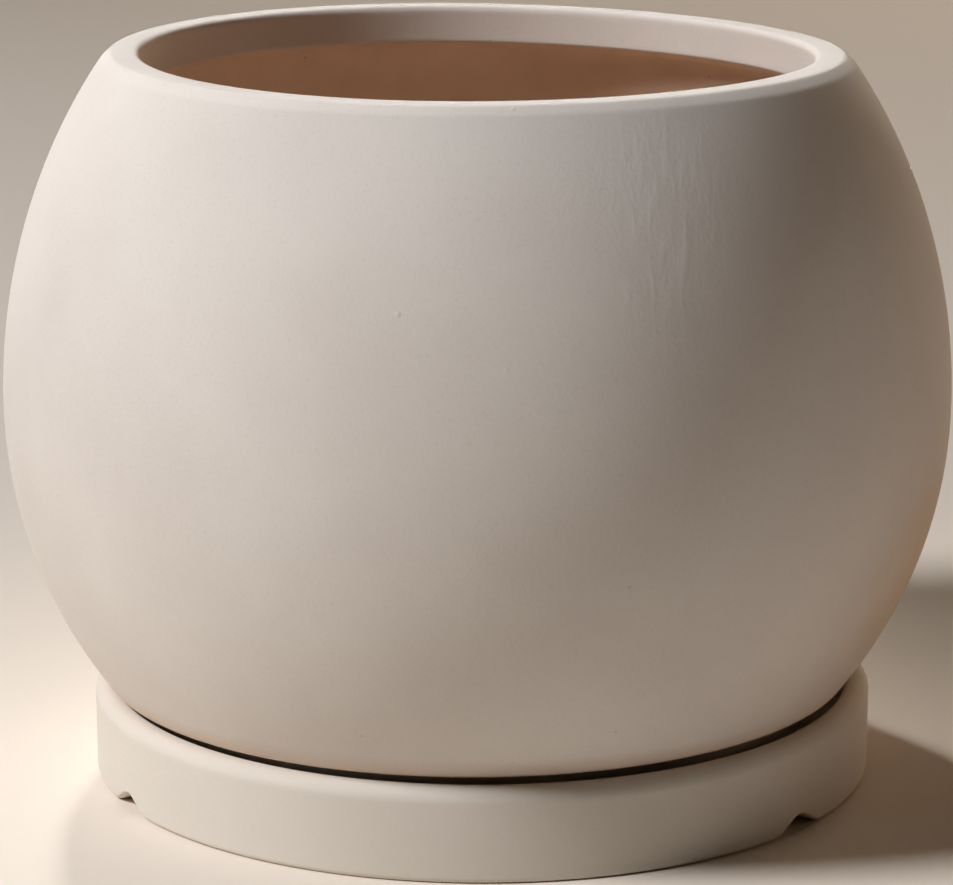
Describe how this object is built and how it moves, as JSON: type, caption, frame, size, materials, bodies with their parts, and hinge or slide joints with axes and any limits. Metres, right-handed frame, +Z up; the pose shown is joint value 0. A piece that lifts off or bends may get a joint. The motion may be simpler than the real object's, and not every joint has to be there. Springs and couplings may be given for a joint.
{
  "type": "bonsai pot",
  "caption": "Round-bellied ceramic bonsai pot with a wide open mouth, standing in a matching shallow drip saucer with a notched foot; the pot lifts out of the saucer.",
  "frame": {"origin": "on the floor, on the pot's own vertical axis; the saucer's axis is 1 mm towards +X, because the pot stands a little off its centre", "axes": "+Z up along the pot's axis; -Y is the front; +X is the pot's right as seen from the front"},
  "size_m": [0.2, 0.2, 0.1533],
  "materials": {
    "slip_ceramic": "matte beige slip, unglazed, over brown clay",
    "mesh_plastic": "moulded black polyethylene",
    "soft_wire": "drawn soft wire, satin"
  },
  "bodies": {
    "saucer": {"drip_saucer": "slip_ceramic"},
    "pot": {"pot_body": "slip_ceramic", "drain_mesh": "mesh_plastic", "mesh_clip": "soft_wire"}
  },
  "joints": [
    {"name": "pot_lift", "type": "slide", "parent": "saucer", "child": "pot", "axis": [0, 0, 1], "range_m": [0, 0.06]}
  ]
}
